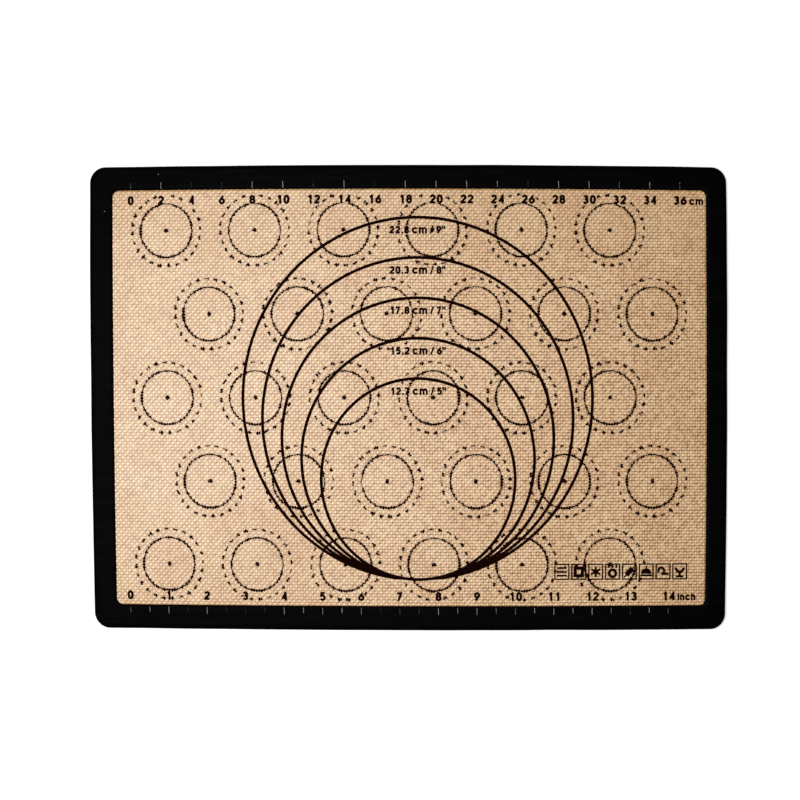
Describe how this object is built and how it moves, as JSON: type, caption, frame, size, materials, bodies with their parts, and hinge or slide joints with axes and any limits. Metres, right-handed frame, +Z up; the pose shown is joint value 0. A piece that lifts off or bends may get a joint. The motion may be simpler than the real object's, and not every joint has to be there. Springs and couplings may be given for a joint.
{
  "type": "silicone baking mat",
  "caption": "Flat rectangular baking mat of silicone-coated glass cloth with a black edge band, printed with rulers, nested guide rings and rows of cookie circles.",
  "frame": {"origin": "middle of the mat's flat underside", "axes": "+X along the rulers towards their high numbers, +Y towards the centimetre ruler, +Z up, out of the printed face"},
  "size_m": [0.418, 0.294, 0.001],
  "materials": {
    "glass_cloth": "plain woven glass-fibre cloth",
    "clear_silicone": "satin clear coat with the weave of the cloth showing through",
    "black_silicone": "matte black moulded band",
    "black_ink": "matte dark silicone ink",
    "pale_ink": "matte pale grey silicone ink, thinly laid"
  },
  "bodies": {
    "root": {"glass_cloth": "glass_cloth", "bottom_coat": "clear_silicone", "top_coat": "clear_silicone", "edge_band": "black_silicone", "guide_ring_5_inch": "black_ink", "guide_ring_6_inch": "black_ink", "guide_ring_7_inch": "black_ink", "guide_ring_8_inch": "black_ink", "guide_ring_9_inch": "black_ink", "ring_label_5_inch": "black_ink", "ring_label_6_inch": "black_ink", "ring_label_7_inch": "black_ink", "ring_label_8_inch": "black_ink", "ring_label_9_inch": "black_ink", "cookie_rings": "black_ink", "cookie_spread_dashes": "black_ink", "cookie_centre_dots": "black_ink", "centimetre_numbers": "black_ink", "inch_numbers": "black_ink", "care_symbols": "black_ink", "centimetre_ticks": "pale_ink", "inch_ticks": "pale_ink"}
  },
  "joints": []
}
